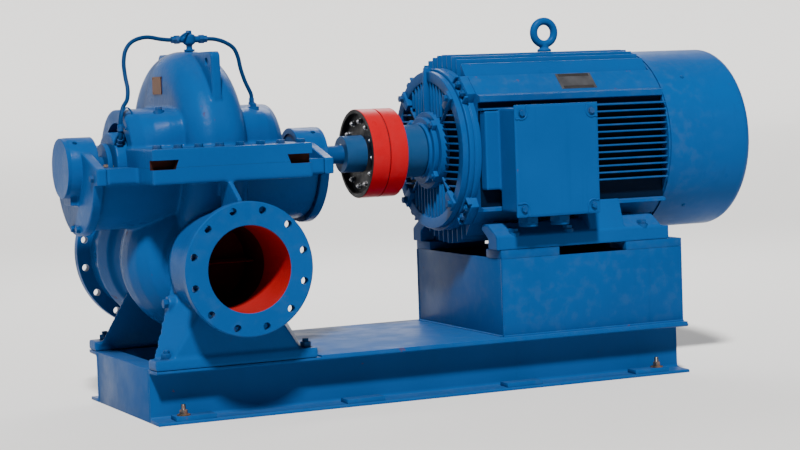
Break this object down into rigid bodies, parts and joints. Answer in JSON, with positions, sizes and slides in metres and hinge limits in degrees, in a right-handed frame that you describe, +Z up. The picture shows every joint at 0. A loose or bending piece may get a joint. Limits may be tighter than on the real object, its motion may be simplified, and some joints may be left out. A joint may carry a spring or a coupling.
{
  "type": "horizontal split case pump set",
  "caption": "Double-suction split case water pump with side nozzles, joined by a red coupling to a finned electric motor on a blue welded channel base.",
  "frame": {"origin": "middle of the set, on the floor under the base frame", "axes": "+X runs along the shaft from the pump to the motor, +Z is up, and the discharge flange faces -Y with the suction flange opposite"},
  "size_m": [2.275, 0.938, 1.173],
  "materials": {
    "blue_paint": "semi-gloss enamel over castings and welded plate",
    "red_paint": "semi-gloss enamel",
    "black_metal": "dull black",
    "bare_steel": "turned"
  },
  "bodies": {
    "set": {"base_channel_far": "blue_paint", "base_channel_near": "blue_paint", "base_cross_left": "blue_paint", "base_cross_middle": "blue_paint", "base_end_left": "blue_paint", "base_end_right": "blue_paint", "bearing_cover_left": "blue_paint", "bearing_cover_right": "blue_paint", "bearing_housing_left": "blue_paint", "bearing_housing_right": "blue_paint", "cable_gland_left": "blue_paint", "cable_gland_right": "blue_paint", "casing_lower": "blue_paint", "casing_upper": "blue_paint", "deck_plate": "blue_paint", "discharge_branch": "blue_paint", "end_shield_drive": "blue_paint", "end_shield_rear": "blue_paint", "eyebolt": "blue_paint", "fan_cover": "blue_paint", "fan_grille": "blue_paint", "gland_left": "blue_paint", "gland_right": "blue_paint", "motor_bearing_cap": "blue_paint", "motor_foot_far": "blue_paint", "motor_foot_near": "blue_paint", "motor_frame": "blue_paint", "pedestal_end_left": "blue_paint", "pedestal_end_right": "blue_paint", "pedestal_pad_far_left": "blue_paint", "pedestal_pad_far_right": "blue_paint", "pedestal_pad_near_left": "blue_paint", "pedestal_pad_near_right": "blue_paint", "pedestal_side_far": "blue_paint", "pedestal_side_near": "blue_paint", "pump_foot_far": "blue_paint", "pump_foot_near": "blue_paint", "seal_pipe_left": "blue_paint", "seal_pipe_right": "blue_paint", "suction_branch": "blue_paint", "terminal_box": "blue_paint", "terminal_box_cover": "blue_paint", "top_cock": "blue_paint"},
    "rotor": {"pump_shaft": "blue_paint", "coupling_half_pump": "red_paint", "coupling_buffer": "black_metal", "coupling_half_motor": "red_paint", "motor_shaft": "bare_steel", "cooling_fan": "black_metal"}
  },
  "joints": [
    {"name": "shaft_spin", "type": "hinge", "parent": "set", "child": "rotor", "pos_m": [-0.11, 0, 0.7533], "axis": [1, 0, 0], "continuous": true}
  ]
}
